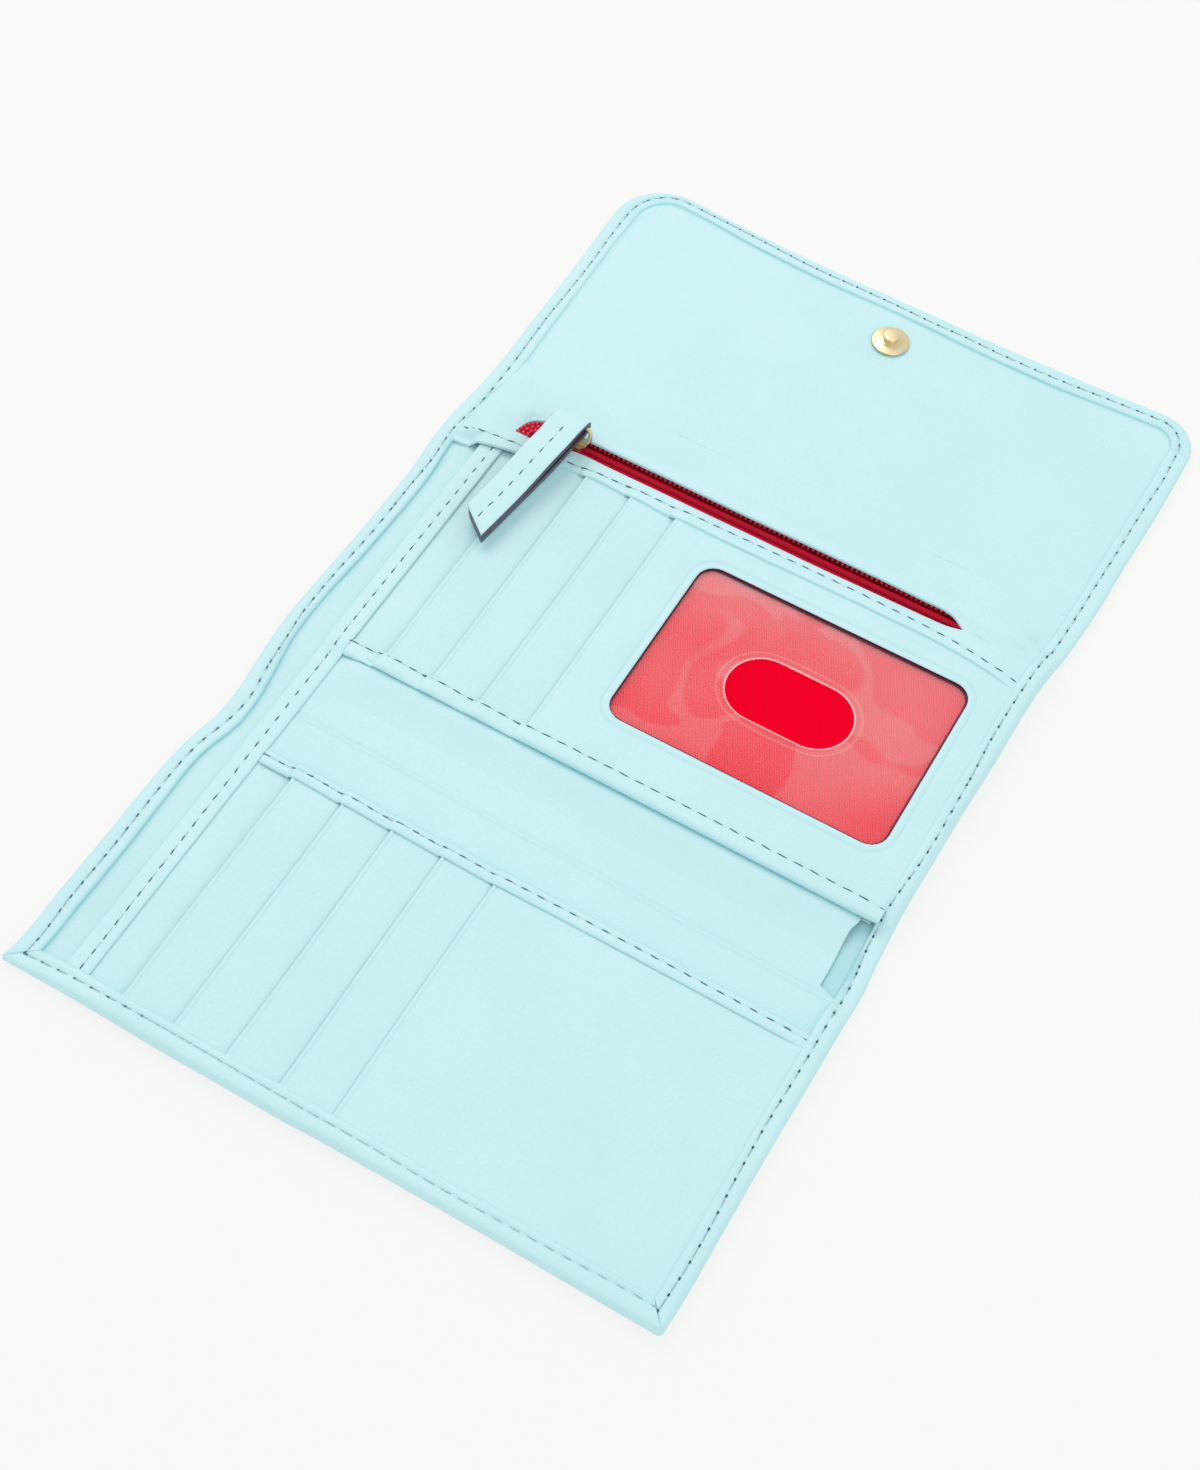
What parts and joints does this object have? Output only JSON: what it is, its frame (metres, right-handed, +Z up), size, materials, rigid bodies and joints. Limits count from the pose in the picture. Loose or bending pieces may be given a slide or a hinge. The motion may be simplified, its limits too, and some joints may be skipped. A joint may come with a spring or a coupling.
{
  "type": "flap wallet",
  "caption": "Leather flap wallet, open flat: two card organisers, identity window, zip pocket with leather pull, and a flap that snaps over the folded front.",
  "frame": {"origin": "middle of the back panel's underside, where the open wallet rests", "axes": "+X along the creases towards the zip's far end, +Y from the front panel's edge to the flap's edge, +Z up out of the open inside"},
  "size_m": [0.1758, 0.2926, 0.0128],
  "materials": {
    "shell_leather": "pale mint leather with a fine grain and turned, stitched edges",
    "lining_leather": "thin mint lining",
    "panel_leather": "pale mint leather, fine grain, matte",
    "edge_painted_leather": "mint leather strap with plum-grey painted edges",
    "crimson_fabric": "ribbed crimson cloth",
    "crimson_nylon": "dark crimson nylon teeth",
    "clear_film": "clear glossy film",
    "pale_gold": "polished pale gold plating"
  },
  "bodies": {
    "back": {"back_cover": "shell_leather", "back_lining": "lining_leather", "spine_sheet_tail": "panel_leather", "middle_base": "panel_leather", "middle_side_binding": "panel_leather", "middle_slot_1": "panel_leather", "middle_slot_2": "panel_leather", "middle_slot_3": "panel_leather", "lip_binding": "panel_leather", "window_panel": "panel_leather", "window_backing": "crimson_fabric", "window_film": "clear_film", "zip_pocket": "crimson_fabric", "zip_tape_lower": "crimson_fabric", "zip_tape_upper": "crimson_fabric", "zip_teeth_lower": "crimson_nylon", "zip_teeth_upper": "crimson_nylon", "zip_stop_left": "crimson_nylon", "zip_stop_right": "crimson_nylon", "zip_binding": "panel_leather", "zip_facing": "panel_leather"},
    "spine": {"spine_cover": "shell_leather", "spine_lining": "lining_leather", "spine_sheet": "panel_leather", "spine_side_binding": "panel_leather"},
    "front": {"front_cover": "shell_leather", "front_lining": "lining_leather", "front_base": "panel_leather", "front_side_binding": "panel_leather", "front_slot_1": "panel_leather", "front_slot_2": "panel_leather", "front_slot_3": "panel_leather", "front_slot_4": "panel_leather", "front_pocket_panel": "panel_leather", "front_binding": "panel_leather", "snap_socket": "pale_gold"},
    "bridge": {"bridge_cover": "shell_leather", "bridge_lining": "panel_leather"},
    "flap": {"flap_cover": "shell_leather", "flap_lining": "panel_leather", "snap_stud": "pale_gold", "snap_cap": "pale_gold"},
    "slider": {"slider_body": "pale_gold"},
    "ring": {"pull_ring": "pale_gold"},
    "pull": {"pull_tab": "edge_painted_leather"}
  },
  "joints": [
    {"name": "spine_fold", "type": "hinge", "parent": "back", "child": "spine", "pos_m": [0, -0.04875, 0.0025], "axis": [-1, 0, 0], "range_deg": [0, 90]},
    {"name": "front_fold", "type": "hinge", "parent": "spine", "child": "front", "pos_m": [0, -0.06785, 0.0025], "axis": [-1, 0, 0], "range_deg": [0, 90]},
    {"name": "bridge_fold", "type": "hinge", "parent": "back", "child": "bridge", "pos_m": [0, 0.04875, 0.0025], "axis": [1, 0, 0], "range_deg": [0, 90]},
    {"name": "flap_fold", "type": "hinge", "parent": "bridge", "child": "flap", "pos_m": [0, 0.07125, 0.0025], "axis": [1, 0, 0], "range_deg": [0, 90]},
    {"name": "zip_slide", "type": "slide", "parent": "back", "child": "slider", "axis": [1, 0, 0], "range_m": [-0.004, 0.108]},
    {"name": "ring_swing", "type": "hinge", "parent": "slider", "child": "ring", "pos_m": [-0.0536, 0.04095, 0.0065], "axis": [1, 0, 0], "range_deg": [-28, 0]},
    {"name": "pull_swing", "type": "hinge", "parent": "ring", "child": "pull", "pos_m": [-0.0536, 0.04239, 0.01045], "axis": [1, 0, 0], "range_deg": [-150, 0]}
  ],
  "couplings": [
    {"joint": "front_fold", "follows": "spine_fold", "ratio": 1},
    {"joint": "flap_fold", "follows": "bridge_fold", "ratio": 1}
  ]
}
